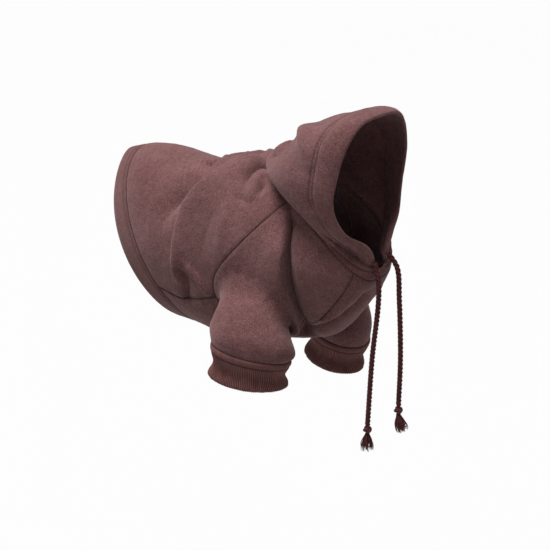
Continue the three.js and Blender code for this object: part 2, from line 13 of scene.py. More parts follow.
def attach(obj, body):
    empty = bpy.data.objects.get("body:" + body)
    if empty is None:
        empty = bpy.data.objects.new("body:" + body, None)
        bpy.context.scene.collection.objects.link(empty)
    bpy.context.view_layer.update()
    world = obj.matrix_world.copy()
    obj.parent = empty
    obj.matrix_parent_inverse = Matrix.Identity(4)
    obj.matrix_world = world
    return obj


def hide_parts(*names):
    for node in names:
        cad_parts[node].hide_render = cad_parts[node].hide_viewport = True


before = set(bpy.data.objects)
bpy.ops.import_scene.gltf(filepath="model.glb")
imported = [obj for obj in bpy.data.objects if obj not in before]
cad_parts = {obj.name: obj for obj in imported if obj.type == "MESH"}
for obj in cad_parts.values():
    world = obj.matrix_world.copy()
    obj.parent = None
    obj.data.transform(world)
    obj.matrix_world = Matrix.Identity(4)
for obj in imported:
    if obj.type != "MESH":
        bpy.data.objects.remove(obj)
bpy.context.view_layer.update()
scene = bpy.context.scene
nape = np.array([73.934, 0, 13.037])  # where the nape seam is in the frame
print("frame loaded")

view = {
    "azimuth": 40,  # round from the right side towards the front
    "elevation": 22,
    "distance": 1250,
    "target": (7.54, -2.375, -116.6),
    "lens": 81.8,
    "sensor": 36,
    "picture": 550,  # the picture's side, in pixels
}


def unit(v):
    return v / np.maximum(np.linalg.norm(v, axis=-1, keepdims=True), 1e-12)


def smoothStep(t):
    t = np.clip(t, 0, 1)
    return t * t * (3 - 2 * t)


def mix(a, b, t):
    return a + (b - a) * t


def hermite(p1, m1, p2, m2, t):
    # From p1 to p2, leaving along m1 and arriving along m2.
    return (2 * t**3 - 3 * t**2 + 1) * p1 + (t**3 - 2 * t**2 + t) * m1 + (3 * t**2 - 2 * t**3) * p2 + (t**3 - t**2) * m2


def viewFrame():
    # The camera's place, and the ways to its right, up and back.
    az, el = math.radians(view["azimuth"]), math.radians(view["elevation"])
    back = np.array([math.sin(az) * math.cos(el), -math.cos(az) * math.cos(el), math.sin(el)])
    right = np.array([math.cos(az), math.sin(az), 0])
    return np.array(view["target"]) + back * view["distance"], right, np.cross(back, right), back


def toFrame(points):
    return (np.asarray(points, dtype=float) + nape) / 1000


def makeCamera():
    place, _, _, back = viewFrame()
    data = bpy.data.cameras.new("camera")
    data.lens = view["lens"]
    data.sensor_width = view["sensor"]
    data.clip_start = 0.01
    camera = bpy.data.objects.new("camera", data)
    camera.location = toFrame(place)
    camera.rotation_euler = Vector(back).to_track_quat("Z", "Y").to_euler()
    scene.collection.objects.link(camera)
    scene.camera = camera


makeCamera()
print("camera made")


# Shaders

class Field:
    # One output of a node. Sums on numbers add Math nodes.
    def __init__(self, sheet, socket):
        self.sheet = sheet
        self.socket = socket

    def calc(self, operation, *values):
        return self.sheet.node("ShaderNodeMath", {"operation": operation}, dict(enumerate(values)))

    def __add__(self, other):
        return self.calc("ADD", self, other)

    __radd__ = __add__

    def __mul__(self, other):
        return self.calc("MULTIPLY", self, other)

    __rmul__ = __mul__


class Shader:
    def __init__(self, name, kind=bpy.data.materials):
        self.material = kind.new(name)
        self.material.use_nodes = True
        self.tree = self.material.node_tree
        self.tree.nodes.clear()

    def node(self, kind, settings, values, output=0):
        # Settings first, such as a ramp's stops, then the sockets' values or links.
        made = self.tree.nodes.new(kind)
        for key, value in settings.items():
            if key == "stops":
                ramp = made.color_ramp
                for at, _ in value[len(ramp.elements):]:
                    ramp.elements.new(at)
                for element, (at, paint) in zip(ramp.elements, value):
                    element.position = at
                    element.color = paint if hasattr(paint, "__len__") else (paint, paint, paint, 1)
            else:
                setattr(made, key, value)
        for key, value in values.items():
            if isinstance(value, Field):
                self.tree.links.new(value.socket, made.inputs[key])
            else:
                made.inputs[key].default_value = value
        return Field(self, made.outputs[output]) if made.outputs else None

    def place(self, kind="Object"):
        return self.node("ShaderNodeTexCoord", {}, {}, kind)

    def speckle(self, scale, detail, roughness):
        values = {"Vector": self.place(), "Scale": scale, "Detail": detail, "Roughness": roughness}
        return self.node("ShaderNodeTexNoise", {}, values, "Fac")

    def shadeAndBandTone(self):
        # The painted shade in seams, stitch grooves and between ribs, and the cuff's darker smooth band, read from the
        # mesh.
        return self.node("ShaderNodeAttribute", {"attribute_name": "shadeAndBandTone"}, {}, "Fac")

    def ramp(self, value, stops):
        return self.node("ShaderNodeValToRGB", {"stops": stops}, {"Fac": value}, "Color")

    def blend(self, share, first, second):
        return self.node("ShaderNodeMix", {"data_type": "RGBA"}, {0: share, 6: first, 7: second}, 2)

    def bump(self, height, strength, distance, normal=None):
        values = {"Height": height, "Strength": strength, "Distance": distance}
        if normal:
            values["Normal"] = normal
        return self.node("ShaderNodeBump", {}, values)

    def finish(self, values):
        surface = self.node("ShaderNodeBsdfPrincipled", {}, values)
        self.node("ShaderNodeOutputMaterial", {}, {"Surface": surface})
        return self.material


def shade(*levels):
    # A picture's colour in 0 to 255, as the linear one that the shaders use.
    shares = [level / 255 for level in levels]
    return (*[c / 12.92 if c <= 0.04045 else ((c + 0.055) / 1.055) ** 2.4 for c in shares], 1)


def tint(first, second, share):
    return tuple(mix(a, b, share) for a, b in zip(first, second))


# The garment's sheets, as one net of four-cornered faces. Seams share their points.

body = {
    "cloth": 2.2,
    "length": 195,  # nape seam to the hem's edge
    "depth": 192,
    "width": 138,
    "seamSink": 0.9,  # how deep a seam lies
    "seamReach": 1.7,
    "pucker": 0.35,
    "sewnGap": 0.04,  # how far a sewn rim is drawn back from its seam
    # at, topX, topZ, lowX, lowZ, wide, lift, bow, sag
    "sections": np.array([
        [-0.14, -1, -0.11, -0.52, -0.97, 0.82, 0, 0.045, 0.1],
        [0, -0.9, -0.055, -0.33, -1, 0.95, 0, 0.015, 0.05],
        [0.15, -0.75, -0.034, -0.22, -1.01, 0.99, 0, 0, 0.03],
        [0.3, -0.59, -0.042, -0.12, -1.01, 1, 0, 0, 0.02],
        [0.45, -0.43, -0.062, -0.03, -0.995, 1, 0, 0, -0.02],
        [0.6, -0.29, -0.045, 0.13, -0.95, 1, 0, 0, -0.09],
        [0.72, -0.185, -0.012, 0.28, -0.9, 0.98, 0.03, 0, -0.09],
        [0.84, -0.095, 0.004, 0.45, -0.82, 0.9, 0.07, 0, -0.03],
        [0.93, -0.01, 0, 0.58, -0.65, 0.77, 0.1, 0, 0.05],
    ]),
}
neck = {
    "reach": 131,  # how far ahead of the nape the neckline's lowest point is
    "drop": 85,
    "width": 77,
    "tuck": 9,
    "sag": 0.19,
    "lift": 0.19,
    "tape": 7,
    "ahead": 0.75,
    "inward": 0.5,
}
# Seams: share of the seam, station from the hem's seam to the neckline, angle.
sideSeam = np.array([[0, 0, 114], [0.35, 0.17, 118], [0.7, 0.34, 113], [1, 0.5, 109]])
rearRaglan = np.array([[0, 1, 63], [0.3, 0.9, 70], [0.6, 0.74, 84], [0.82, 0.61, 96], [1, 0.5, 109]])
frontRaglan = np.array([[0, 1, 138], [0.35, 0.92, 143], [0.7, 0.84, 148], [1, 0.76, 152]])
underarm = np.array([[0, 0.76, 152], [0.5, 0.62, 135], [1, 0.5, 109]])
armholeTop = np.array([[0, 0.5, 109], [0.25, 0.62, 94], [0.5, 0.76, 92], [0.75, 0.84, 115], [1, 0.76, 152]])


def readTable(rows, at):
    # A smooth curve through a table's rows, by its first column.
    last = len(rows) - 1
    i = 0
    while i < last - 1 and at > rows[i + 1][0]:
        i += 1
    r0, r1, r2, r3 = rows[max(i - 1, 0)], rows[i], rows[i + 1], rows[min(i + 2, last)]
    span = r2[0] - r1[0]
    t = (at - r1[0]) / span
    m1 = (r2 - r0) / (r2[0] - r0[0]) * span
    m2 = (r3 - r1) / (r3[0] - r1[0]) * span
    return hermite(r1, m1, r2, m2, t)[1:]


def aheadOf(top, low):
    along = top - low
    return unit(np.array([along[2], 0, -along[0]]))


def sectionPoint(section, angle):
    # Angle 0 is a section's top and 180 its bottom.
    top, low, halfWidth, lift, bow, sag = section
    a = math.radians(angle)
    beside = math.sin(a)
    full = 1 - sag * 2 * math.cos(a) * abs(beside)
    point = (top + low) / 2 + (top - low) / 2 * math.cos(a) * full + aheadOf(top, low) * lift * beside**2
    point[0] -= bow * beside**2
    point[1] = halfWidth * beside * full
    return point


def neckSection(inward):
    top = np.array([neck["tuck"], 0, -1.0])
    low = np.array([neck["reach"], 0, -float(neck["drop"])])
    step = aheadOf(top, low) * inward * neck["ahead"]
    along = unit(top - low) * inward * neck["inward"]
    halfWidth = neck["width"] / 2 - inward * neck["inward"]
    return top + step - along, low + step + along, halfWidth, neck["width"] * neck["lift"], 0, neck["sag"]


def trunkPoint(station, angle):
    length, depth, width = body["length"], body["depth"], body["width"]
    top, _, _, lift, _, sag = neckSection(0)
    ends = [top[0] / length, top[2] / depth, neck["reach"] / length, -neck["drop"] / depth]
    last = [1, *ends, neck["width"] / width, lift / width, 0, sag]
    topX, topZ, lowX, lowZ, wide, lift, bow, sag = readTable(np.vstack([body["sections"], last]), station)
    top = np.array([topX * length, 0, topZ * depth])
    low = np.array([lowX * length, 0, lowZ * depth])
    return sectionPoint((top, low, wide * width / 2, lift * width, bow * length, sag), angle)


hood = {
    "reach": 129,
    "height": 68,
    "width": 120,
    "throatGap": 7,
    "casing": 25,  # face edge to the casing's seam, at the top
    "casingLow": 14,
    "casingPuff": 1.1,
    "edge": 4.6,  # thickness at the face edge
    "shares": [0, 0.15, 0.3, 0.45, 0.6, 0.75, 0.88, 1],  # of the way round, from the crown to the throat
    # Each line: how far it is from the neckline to the face edge, then ahead, beside and rise at each share.
    "lines": [
        (0.16, [(0.02, 0, 0.6), (0.09, 0.34, 0.59), (0.24, 0.66, 0.55), (0.41, 0.87, 0.515),
              (0.585, 0.9, 0.43), (0.735, 0.88, 0.34), (0.87, 0.73, 0.235), (0.95, 0.24, 0.1)]),
        (0.26, [(0.04, 0, 0.64), (0.1, 0.36, 0.63), (0.24, 0.69, 0.595), (0.41, 0.92, 0.55),
              (0.58, 0.96, 0.47), (0.73, 0.91, 0.365), (0.87, 0.74, 0.255), (0.95, 0.24, 0.11)]),
        (0.48, [(0.29, 0, 0.73), (0.31, 0.38, 0.73), (0.37, 0.74, 0.7), (0.48, 0.98, 0.65),
              (0.63, 1.03, 0.53), (0.755, 0.95, 0.385), (0.85, 0.68, 0.24), (0.95, 0.22, 0.1)]),
        (0.7, [(0.54, 0, 0.905), (0.55, 0.45, 0.9), (0.59, 0.83, 0.82), (0.66, 1, 0.69),
              (0.745, 1, 0.53), (0.825, 0.88, 0.365), (0.885, 0.55, 0.21), (0.975, 0.19, 0.09)]),
        (0.87, [(0.86, 0, 1.005), (0.855, 0.5, 0.985), (0.84, 0.86, 0.9), (0.82, 0.97, 0.72),
              (0.83, 0.94, 0.52), (0.885, 0.78, 0.325), (0.95, 0.4, 0.19), (1, 0.17, 0.085)]),
        (1, [(1, 0, 1), (0.99, 0.44, 0.98), (0.96, 0.74, 0.87), (0.93, 0.88, 0.7),
              (0.9, 0.9, 0.5), (0.95, 0.68, 0.31), (1.01, 0.24, 0.2), (1.015, 0.14, 0.07)]),
    ],
}


def hoodPoint(down, angle):
    seam = sectionPoint(neckSection(neck["tape"]), -abs(angle))
    tall = neck["drop"] + hood["height"]
    rows = [[0, seam[0] / hood["reach"], -seam[1] / (hood["width"] / 2), (seam[2] + neck["drop"]) / tall]]
    share = min(1, abs(angle) / (180 - hood["throatGap"]))
    for line, points in hood["lines"]:
        rows.append([line, *readTable(np.column_stack([hood["shares"], points]), share)])
    ahead, beside, rise = readTable(np.array(rows), down)
    across = beside * np.sign(angle) * hood["width"] / 2
    return np.array([ahead * hood["reach"], across, mix(-neck["drop"], hood["height"], rise)])


sleeve = {
    "blouse": 5,  # how far the cloth hangs out over the cuff
    "start": 0.35,
    "end": 0.3,
    "rise": 1.6,
    "reach": 26,  # how far from the armhole the shoulder is smoothed
}
cuff = {
    "band": 35,
    "long": 84,
    "short": 58,
    "turn": 21,
    "tuck": 6,
    "slant": 6,
    "tilt": 0.14,
    "cloth": 2.4,
    "hem": 8,  # the smooth band above the ribs
    "hemPuff": 0.8,
    "ribs": 112,
    "perRib": 8,  # columns of points
    "ribDepth": 0.8,
    "waist": 3.2,
    "flare": -1,
    # How far each ring of points is from the seam, and the ring that the stitches follow.
    "rings": [0, 0.5, 1.2, 2.4, 4, 5.6, 6.8, 7.5, 8, 8.5, 9.2, 10.5, 12.5, 15, 18, 21, 24, 27, 29.5, 31.5, 33, 34.2,
              35],
    "stitchRing": 7,
    "sides": {"right": (-1, 34, 164), "left": (1, 36, 190)},  # side, ahead and down
}
cuffSpread = trunkPoint(underarm[1][1], underarm[1][2])[1] - cuff["tuck"] + cuff["short"] / 2


def cuffPoint(name, turn, along):
    side, ahead, down = cuff["sides"][name]
    a, t = math.radians(turn), math.radians(cuff["turn"])
    long, short = cuff["long"] / 2 * math.cos(a), cuff["short"] / 2 * math.sin(a)
    return np.array([
        ahead - long * math.cos(t) + short * math.sin(t) - cuff["slant"] * along,
        side * (cuffSpread + long * math.sin(t) + short * math.cos(t)),
        -down - cuff["band"] * along + cuff["tilt"] * long * (1 - along * 0.6),
    ])


def sleeveHeadPoint(side, down, over):
    # The sleeve's head lies on the trunk between its raglan seams, and ends at the armhole's arch.
    rear, front, arch = readTable(rearRaglan, down), readTable(frontRaglan, down), readTable(armholeTop, over)
    straight = mix(armholeTop[0][1:], armholeTop[4][1:], over)
    station, angle = mix(rear, front, over) + down ** sleeve["rise"] * (arch - straight)
    return trunkPoint(station, angle * side)


def sleevePoint(name, start, out, turn, down):
    side, ahead, _ = cuff["sides"][name]
    leave = unit(np.array([0.1, side * out, -1]))
    end = cuffPoint(name, turn, 0)
    reach = np.linalg.norm(start - end)
    second = start + leave * reach * sleeve["start"]
    third = end + np.array([cuff["slant"] / 2, 0, reach * sleeve["end"]])
    up = 1 - down
    point = up**3 * start + 3 * up**2 * down * second + 3 * up * down**2 * third + down**3 * end
    away = unit(np.array([end[0] - ahead, end[1] - side * cuffSpread, 0]))
    return point + away * sleeve["blouse"] * math.sin(math.pi * down**3)


class Net:
    # Points and faces of the whole garment. A face knows its piece, and its corners' places on that piece.
    def __init__(self):
        self.points = np.zeros((0, 3))
        self.faces, self.pieces, self.places = [], [], []

    def add(self, point):
        if len(self.points):
            apart = ((self.points - point) ** 2).sum(1)
            if apart.min() < 0.0004:
                return int(apart.argmin())
        self.points = np.vstack([self.points, point])
        return len(self.points) - 1

    def addGrid(self, piece, rows, columns, point, place, flip=False):
        shares = [[(i / rows, j / columns) for j in range(columns + 1)] for i in range(rows + 1)]
        ids = [[self.add(point(*share)) for share in row] for row in shares]
        for i in range(rows):
            for j in range(columns):
                corners = [(i, j), (i + 1, j), (i + 1, j + 1), (i, j + 1)]
                if flip:
                    corners.reverse()
                self.faces.append([ids[a][b] for a, b in corners])
                self.places.append([place(*shares[a][b]) for a, b in corners])
                self.pieces.append(piece)

    def smooth(self, chosen, passes):
        faces = np.array(self.faces)
        uses = {}
        for a, b in zip(faces.ravel(), np.roll(faces, -1, 1).ravel()):
            uses.setdefault((min(a, b), max(a, b)), []).append(1)
        held = {i for edge, found in uses.items() if len(found) == 1 for i in edge}
        near = {}
        for a, b in uses:
            near.setdefault(a, []).append(b)
            near.setdefault(b, []).append(a)
        for _ in range(passes):
            before = self.points.copy()
            for i in chosen - held:
                self.points[i] = mix(before[i], before[near[i]].mean(0), 0.5)

    def pointsOf(self, isWanted):
        return {i for face, piece in zip(self.faces, self.pieces) if isWanted(piece) for i in face}

    def shoulders(self):
        own = self.pointsOf(lambda piece: piece.endswith("sleeve"))
        own -= self.pointsOf(lambda piece: not piece.endswith("sleeve"))
        edges = [readTable(armholeTop, i / 20) for i in range(21)]
        arches = np.array([trunkPoint(station, angle * side) for station, angle in edges for side in (-1, 1)])
        return {i for i in own if np.linalg.norm(arches - self.points[i], axis=1).min() < sleeve["reach"]}


def onTrunk(seam, share, over, around=False):
    station, angle = readTable(seam, share)
    return station, (mix(angle, 360 - angle, over) if around else angle * (2 * over - 1))


def makeNet():
    net = Net()
    back, belly, shoulder, under, sleeveColumns, hoodRows = 16, 8, 12, 5, 10, 15
    for rows, seam, flip in [(10, sideSeam, False), (shoulder, rearRaglan, True)]:
        place = lambda down, over: onTrunk(seam, 1 - down if flip else down, over)
        net.addGrid("back_panel", rows, back, lambda down, over: trunkPoint(*place(down, over)), place)
    for rows, seam, flip in [(10, sideSeam, False), (under, underarm, True), (shoulder, frontRaglan, True)]:
        place = lambda down, over: onTrunk(seam, 1 - down if flip else down, over, True)
        net.addGrid("belly_panel", rows, belly, lambda down, over: trunkPoint(*place(down, over)), place)
    side = sideSeam[0][2]
    for columns, start, end in [(back, -side, side), (belly, side, 360 - side)]:
        place = lambda down, over: (body["sections"][0][0] * (1 - down), mix(start, end, over))
        net.addGrid("hem_band", 2, columns, lambda down, over: trunkPoint(*place(down, over)), place)
    for name, (side, _, _) in cuff["sides"].items():
        flip = side > 0
        head = lambda down, over: sleeveHeadPoint(side, down, over)
        net.addGrid(f"{name}_sleeve", shoulder, sleeveColumns, head, lambda down, over: (down - 1, over * 180), flip)
        for columns, start, out, first in [(sleeveColumns, head, 0.2, 0), (under, None, 0.6, 180)]:
            def tube(down, over):
                if start:
                    top = start(1, over)
                else:
                    station, angle = readTable(underarm, over)
                    top = trunkPoint(station, angle * side)
                return sleevePoint(name, top, 0.15 + out * math.sin(math.pi * over), first + 180 * over, down)
            turned = lambda down, over: (down, first + 180 * over)
            net.addGrid(f"{name}_sleeve", 8, columns, tube, turned, flip)
            end = lambda down, over: cuffPoint(name, first + 180 * over, down)
            net.addGrid(f"{name}_cuff", 3, columns, end, turned, flip)
    rear, front = rearRaglan[0][2], frontRaglan[0][2]
    stop = mix(front, 180, 0.75)
    spans = [(back, -rear, rear), (sleeveColumns, rear, front), (sleeveColumns, -front, -rear)]
    for columns, start, end in [*spans, (belly, front, 360 - front)]:
        place = lambda down, over: (down, mix(start, end, over))
        tape = lambda down, over: sectionPoint(neckSection(neck["tape"] * down), mix(start, end, over))
        net.addGrid("neck_tape", 1, columns, tape, place)
    for columns, start, end in [*spans, (3, front, stop), (3, -stop, -front)]:
        place = lambda down, over: (down, mix(start, end, over))
        net.addGrid("hood", hoodRows, columns, lambda down, over: hoodPoint(*place(down, over)), place)
    net.smooth(net.pointsOf(lambda piece: True), 3)
    net.smooth(net.shoulders(), 12)
    return net


net = makeNet()
print("net made:", len(net.faces), "faces")


# The fine cloth, with its seams, folds and wrinkles

pieceNames = sorted(set(net.pieces))


def rimsOf(faces):
    # The edges that only one of these faces uses, in that face's direction.
    edges = np.stack([faces, np.roll(faces, -1, 1)], -1).reshape(-1, 2)
    key = edges.min(1).astype(np.int64) * 10**7 + edges.max(1)
    _, first, uses = np.unique(key, return_index=True, return_counts=True)
    return edges[first[uses == 1]]


def treeOf(points):
    tree = KDTree(len(points))
    for i, point in enumerate(points):
        tree.insert(point, i)
    tree.balance()
    return tree


class Cloth:
    def __init__(self, net, levels):
        mesh = bpy.data.meshes.new("net")
        mesh.from_pydata(net.points.tolist(), [], net.faces)
        mesh.attributes.new("piece", "INT", "FACE").data.foreach_set("value", [pieceNames.index(p) for p in net.pieces])
        mesh.uv_layers.new(name="place").data.foreach_set("uv", np.array(net.places, dtype=float).ravel())
        obj = bpy.data.objects.new("net", mesh)
        scene.collection.objects.link(obj)
        fine = obj.modifiers.new("fine", "SUBSURF")
        fine.levels = levels
        fine.boundary_smooth = "PRESERVE_CORNERS"
        fine.uv_smooth = "NONE"
        made = obj.evaluated_get(bpy.context.evaluated_depsgraph_get()).to_mesh()
        self.points = self.read(made.vertices, "co", 3)
        self.faces = self.read(made.loops, "vertex_index", 4, int)
        self.pieces = self.read(made.attributes["piece"].data, "value", 1, int).ravel()
        self.places = self.read(made.uv_layers["place"].data, "uv", 2).reshape(-1, 4, 2)
        bpy.data.objects.remove(obj)
        self.rims = rimsOf(self.faces)
        shared = np.unique(np.stack([self.faces.ravel(), np.repeat(self.pieces, 4)], 1), axis=0)
        self.seams = np.flatnonzero(np.bincount(shared[:, 0], minlength=len(self.points)) > 1)
        self.thick = np.full(len(self.points), float(body["cloth"]))

    def read(self, data, name, width, kind=float):
        size, stored = (width, np.float32) if kind is float else (1, np.int32)
        values = np.zeros(len(data) * size, dtype=stored)
        data.foreach_get(name, values)
        return values.astype(kind).reshape(-1, width)

    def normals(self):
        a, b, c, d = (self.points[self.faces[:, k]] for k in range(4))
        across = np.cross(c - a, d - b)
        sums = np.zeros_like(self.points)
        for corners in self.faces.T:
            for axis in range(3):
                sums[:, axis] += np.bincount(corners, across[:, axis], len(self.points))
        return unit(sums)

    def facesOf(self, isWanted):
        wanted = [i for i, name in enumerate(pieceNames) if isWanted(name)]
        return self.faces[np.isin(self.pieces, wanted)]

    def hold(self, isWanted):
        # 1 for the points of some pieces, 0 for the others.
        share = np.zeros(len(self.points))
        share[self.facesOf(isWanted).ravel()] = 1
        return share

    def surface(self, isWanted):
        return BVHTree.FromPolygons(self.points.tolist(), self.facesOf(isWanted).tolist())

    def gridOf(self, piece):
        # A piece's points in rows and columns, by their places on it.
        mine = self.pieces == pieceNames.index(piece)
        places = self.places[mine].reshape(-1, 2)
        levels = []
        for values in places.T:
            known = np.unique(values)
            known = known[np.append(True, np.diff(known) > 0.001)]
            levels.append((known, np.searchsorted(known, values + 0.0005) - 1))
        table = np.full((len(levels[0][0]), len(levels[1][0])), -1)
        table[levels[0][1], levels[1][1]] = self.faces[mine].ravel()
        return table, levels[1][0]


cloth = Cloth(net, 3)
print("cloth refined:", len(cloth.faces), "faces,", len(cloth.seams), "points on seams")


def isHood(piece):
    return piece == "hood"


def isTrunk(piece):
    return "panel" in piece or "sleeve" in piece


def isBand(piece):
    return "band" in piece or "cuff" in piece or "tape" in piece


def through(points, spacing, steps=24):
    # A smooth curve through some points, at even steps.
    points = np.asarray(points, dtype=float)
    ends = np.vstack([2 * points[0] - points[1], points, 2 * points[-1] - points[-2]])
    parts = []
    for p0, p1, p2, p3 in zip(ends, ends[1:], ends[2:], ends[3:]):
        k0, k1, k2 = (max(float(np.linalg.norm(b - a)) ** 0.5, 1e-6) for a, b in ((p0, p1), (p1, p2), (p2, p3)))
        m1 = ((p1 - p0) / k0 - (p2 - p0) / (k0 + k1) + (p2 - p1) / k1) * k1
        m2 = ((p2 - p1) / k1 - (p3 - p1) / (k1 + k2) + (p3 - p2) / k2) * k1
        parts.append(hermite(p1, m1, p2, m2, np.linspace(0, 1, steps)[:, None]))
    return evenly(np.vstack([part[:-1] for part in parts] + [parts[-1][-1:]]), spacing)


def evenly(line, spacing):
    steps = np.append(0, np.cumsum(np.linalg.norm(np.diff(line, axis=0), axis=1)))
    at = np.linspace(0, steps[-1], max(2, round(steps[-1] / spacing) + 1))
    return np.stack([np.interp(at, steps, line[:, k]) for k in range(line.shape[1])], 1)


# Folds. Each follows places of the picture, carried on to the cloth along the camera's rays, or places of the
# piece itself, as row and angle. height is how far the cloth stands out, or in where it is negative, width its
# reach to the left and right of the way the line runs, lean how far its crest falls to the left, fade the shares
# of its length in which it comes and goes, and far its share on the other side.
folds = {
    "trunk": [
        {"line": [(271, 160), (255, 163), (233, 169), (214, 180), (198, 195), (188, 210),
                  (182, 231), (179, 255), (179, 272), (181, 294)],
         "height": 7, "width": (16, 5), "lean": -3, "fade": (0.1, 0.15)},
        {"line": [(220, 157), (211, 166), (202, 175), (192, 186), (182, 196), (172, 207), (165, 220), (161, 236)],
         "height": -10, "width": (6, 13), "fade": (0.02, 0.4)},
        {"line": [(237, 151), (226, 160), (214, 169), (204, 178)], "height": 4, "width": (4, 6), "fade": (0.05, 0.5)},
        {"line": [(246, 153), (232, 161), (220, 169), (208, 181), (199, 190)],
         "height": -5, "width": (3, 3), "fade": (0.05, 0.4)},
        {"line": [(256, 151), (243, 159), (230, 166), (219, 174)], "height": 4, "width": (4, 5), "fade": (0.05, 0.5)},
        {"line": [(272, 168), (262, 169), (252, 174), (246, 183), (243, 196)],
         "height": -6, "width": (4, 4), "fade": (0, 0.5)},
        {"line": [(264, 173), (257, 182), (251, 197), (247, 210)], "height": 4, "width": (5, 5), "fade": (0.2, 0.5)},
        {"line": [(267, 184), (261, 191), (259, 202)], "height": -3, "width": (3, 3), "fade": (0.3, 0.4)},
        {"line": [(229, 194), (243, 201), (258, 204)], "height": -2, "width": (4, 4), "fade": (0.4, 0.4)},
        {"line": [(184, 262), (186, 280), (184, 297)], "height": -8, "width": (7, 4), "fade": (0.4, 0)},
        {"line": [(185, 260), (196, 274), (208, 291)], "height": 4, "width": (5, 4), "fade": (0.4, 0)},
        {"line": [(292, 204), (288, 231), (286, 243), (286, 273), (290, 296), (297, 316), (303, 331), (306, 347)],
         "height": -12, "width": (8, 3), "fade": (0.15, 0.02), "far": 0.5},
        {"line": [(285, 222), (280, 245), (278, 272), (283, 298), (291, 322), (297, 348)],
         "height": 6, "width": (4, 18), "lean": 4, "fade": (0.25, 0.1), "far": 0.6},
        {"line": [(282, 300), (284, 324), (287, 350)],
         "height": 2, "width": (13, 14), "lean": 6, "fade": (0.7, 0), "far": 0.3},
        {"line": [(350, 292), (338, 310), (317, 324)], "height": 4, "width": (5, 4), "fade": (0.3, 0.3)},
        {"line": [(371, 288), (356, 307), (331, 323), (306, 335)],
         "height": -6, "width": (5, 6), "fade": (0.1, 0.1), "far": 0},
        {"line": [(236, 190), (226, 214), (219, 244), (213, 272)],
         "height": 1.6, "width": (6, 6), "fade": (0.4, 0.4)},
        {"line": [(225, 190), (212, 216), (203, 246), (200, 270)],
         "height": -1.8, "width": (7, 7), "fade": (0.4, 0.4)},
    ],
    "hood": [
        {"at": [(0.48, 2), (0.47, -15), (0.45, -30), (0.45, -45)], "height": -5, "width": (5, 5), "fade": (0, 0.4)},
        {"at": [(0.56, 2), (0.6, -15), (0.68, -35), (0.73, -52), (0.77, -68), (0.82, -85)],
         "height": 7, "width": (12, 6), "lean": -1, "fade": (0, 0.6)},
        {"at": [(0.39, 2), (0.39, -20), (0.41, -40)], "height": 4, "width": (5, 6), "fade": (0, 0.4)},
        {"at": [(0.74, 2), (0.76, -25), (0.8, -50)], "height": -2, "width": (5, 5), "fade": (0, 0.4)},
        {"line": [(271, 158), (278, 155), (286, 161)], "height": -2, "width": (3, 3), "fade": (0, 0.4)},
        {"line": [(297, 170), (303, 190), (315, 210)], "height": 1.5, "width": (7, 7), "fade": (0.4, 0.4)},
    ],
}
farShare = 0.8  # of a fold's height on the other side, where it names no far
foldReach = 2.4  # widths from its line, beyond which a fold no longer counts
foldFade = 9  # how near a band folds fade out


def onCloth(surface, pixel):
    place, right, up, back = viewFrame()
    scale = view["sensor"] / view["picture"] / view["lens"]
    across, down = (scale * (at - view["picture"] / 2) for at in pixel)
    return surface.ray_cast(Vector(place), Vector(unit(across * right - down * up - back)))[0]


def foldRoute(fold, surface, side, piecePoint):
    if "at" in fold:
        line = through(np.array(fold["at"]) * [100, 1], 4) / [100, 1]
        places = [piecePoint(down, -angle * side) for down, angle in line]
        return through([surface.find_nearest(Vector(place))[0] for place in places], 1.5)
    found = [onCloth(surface, pixel) for pixel in through(fold["line"], 4)]
    route = np.array([point for point in found if point])
    if side > 0:
        route = np.array([surface.find_nearest(Vector((x, -y, z)))[0] for x, y, z in route])
    return through(route[::2], 1.5) if len(route) > 3 else evenly(route, 1.5)


def pressFold(cloth, fold, surface, share, normals, side, piecePoint):
    route = foldRoute(fold, surface, side, piecePoint)
    reach = max(fold["width"]) * foldReach
    low, high = route.min(0) - reach, route.max(0) + reach
    near = np.flatnonzero((share > 0) & ((cloth.points > low) & (cloth.points < high)).all(1))
    apart = cloth.points[near][:, None] - route[None]
    nearest = (apart**2).sum(2).argmin(1)
    away = apart[np.arange(len(near)), nearest]
    along = unit(np.gradient(route, axis=0))[nearest]
    onLeft = (np.cross(along, away) * normals[near]).sum(1) * (-side if side > 0 else 1) > 0
    width = np.where(onLeft, *fold["width"])
    t = nearest / (len(route) - 1)
    comes, goes = fold["fade"]
    strength = smoothStep(t / comes if comes else 1) * smoothStep((1 - t) / goes if goes else 1)
    strength = strength * share[near] * (fold.get("far", farShare) if side > 0 else 1)
    apart = np.linalg.norm(away, axis=1) / width
    rise = fold["height"] * strength * np.exp(-(apart ** (2 if fold["height"] > 0 else 1.4)))
    left = unit(np.cross(normals[near], along)) * (-1 if side > 0 else 1)
    fall = fold.get("lean", 0) * strength * np.exp(-(apart ** 2))
    return near, normals[near] * rise[:, None] + left * fall[:, None]


def distances(tree, points):
    found = [tree.find(point) for point in points]
    return np.array([apart for _, _, apart in found]), np.array([place[:] for place, _, _ in found])


normals = cloth.normals()
seamApart, seamPlace = distances(treeOf(cloth.points[cloth.seams]), cloth.points)
bandSeams = np.flatnonzero((cloth.hold(isBand) > 0) & (cloth.hold(lambda piece: not isBand(piece)) > 0))
bandApart, _ = distances(treeOf(cloth.points[bandSeams]), cloth.points)
moves = np.zeros_like(cloth.points)
for kind, isWanted, piecePoint in [("trunk", isTrunk, trunkPoint), ("hood", isHood, hoodPoint)]:
    surface = cloth.surface(isWanted)
    share = cloth.hold(isWanted) * (1 - cloth.hold(isBand)) * smoothStep(bandApart / foldFade)
    for fold in folds[kind]:
        both = np.zeros_like(moves)  # where the two sides' folds meet, the higher one counts
        for side in (-1, 1):
            near, move = pressFold(cloth, fold, surface, share, normals, side, piecePoint)
            higher = (move**2).sum(1) > (both[near] ** 2).sum(1)
            both[near[higher]] = move[higher]
        moves += both
cloth.points += moves
print("folds pressed:", sum(len(found) for found in folds.values()))

